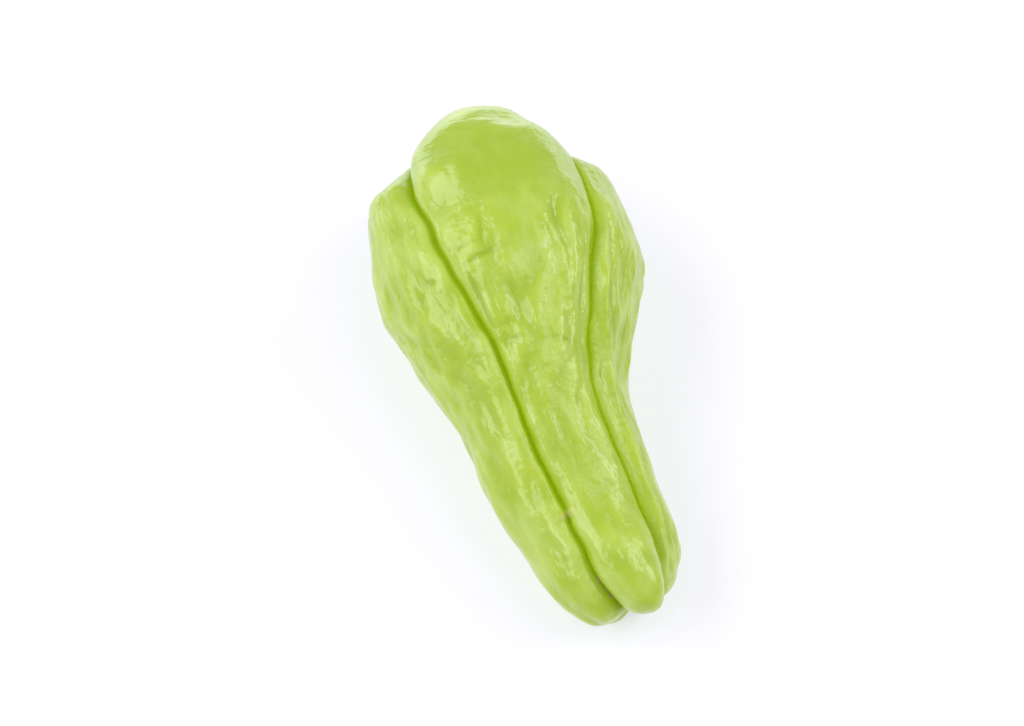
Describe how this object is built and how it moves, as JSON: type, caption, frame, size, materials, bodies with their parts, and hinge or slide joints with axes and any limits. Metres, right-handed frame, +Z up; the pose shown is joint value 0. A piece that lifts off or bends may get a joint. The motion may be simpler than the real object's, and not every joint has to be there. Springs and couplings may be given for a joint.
{
  "type": "chayote squash",
  "caption": "Whole long chayote squash, pear-shaped with deep furrows between rounded lobes, lying on its back as picked.",
  "frame": {"origin": "on the table, under the middle of the fruit's bounding box", "axes": "+Y along the fruit from the stem end to the blossom end, +X to the right seen from the stem end, +Z up"},
  "size_m": [0.0804, 0.1628, 0.0612],
  "materials": {
    "skin": "satin"
  },
  "bodies": {
    "root": {"chayote_squash": "skin"}
  },
  "joints": []
}
